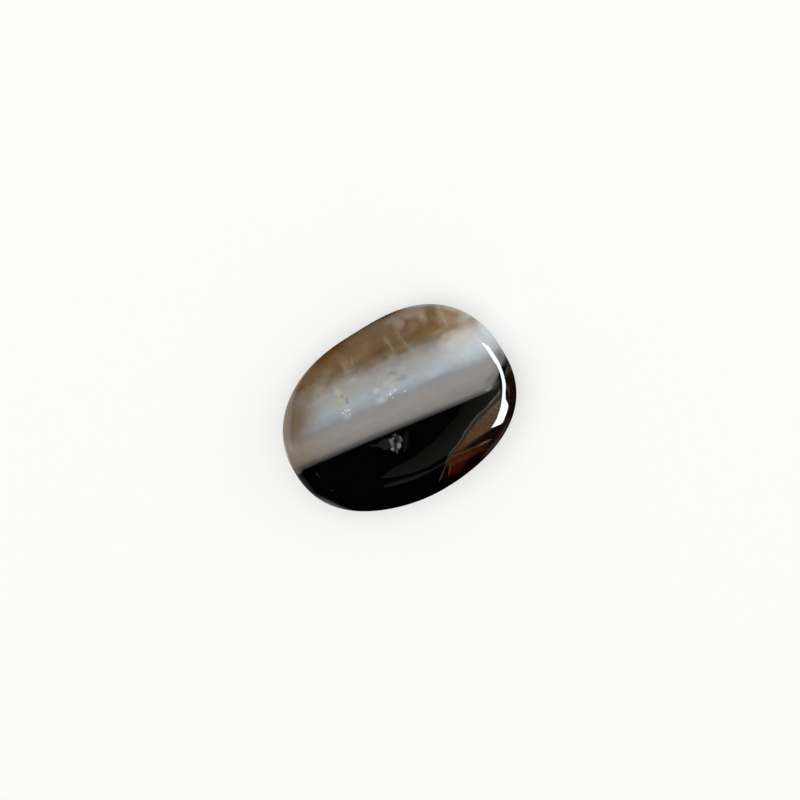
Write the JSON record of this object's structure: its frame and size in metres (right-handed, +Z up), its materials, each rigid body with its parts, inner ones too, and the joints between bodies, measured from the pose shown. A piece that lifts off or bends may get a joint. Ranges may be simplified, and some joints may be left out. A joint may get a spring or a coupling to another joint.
{
  "type": "sulemani agate cabochon",
  "caption": "Oval cabochon of banded agate with a low polished dome, a rounded girdle and a flat back.",
  "frame": {"origin": "centre of the bounding box at the flat back, on the surface that the stone rests on", "axes": "+X along the oval's length, +Y across it, +Z up out of the flat back through the dome"},
  "size_m": [0.016, 0.0118, 0.005],
  "materials": {
    "agate": "high polish"
  },
  "bodies": {
    "root": {"agate": "agate"}
  },
  "joints": []
}
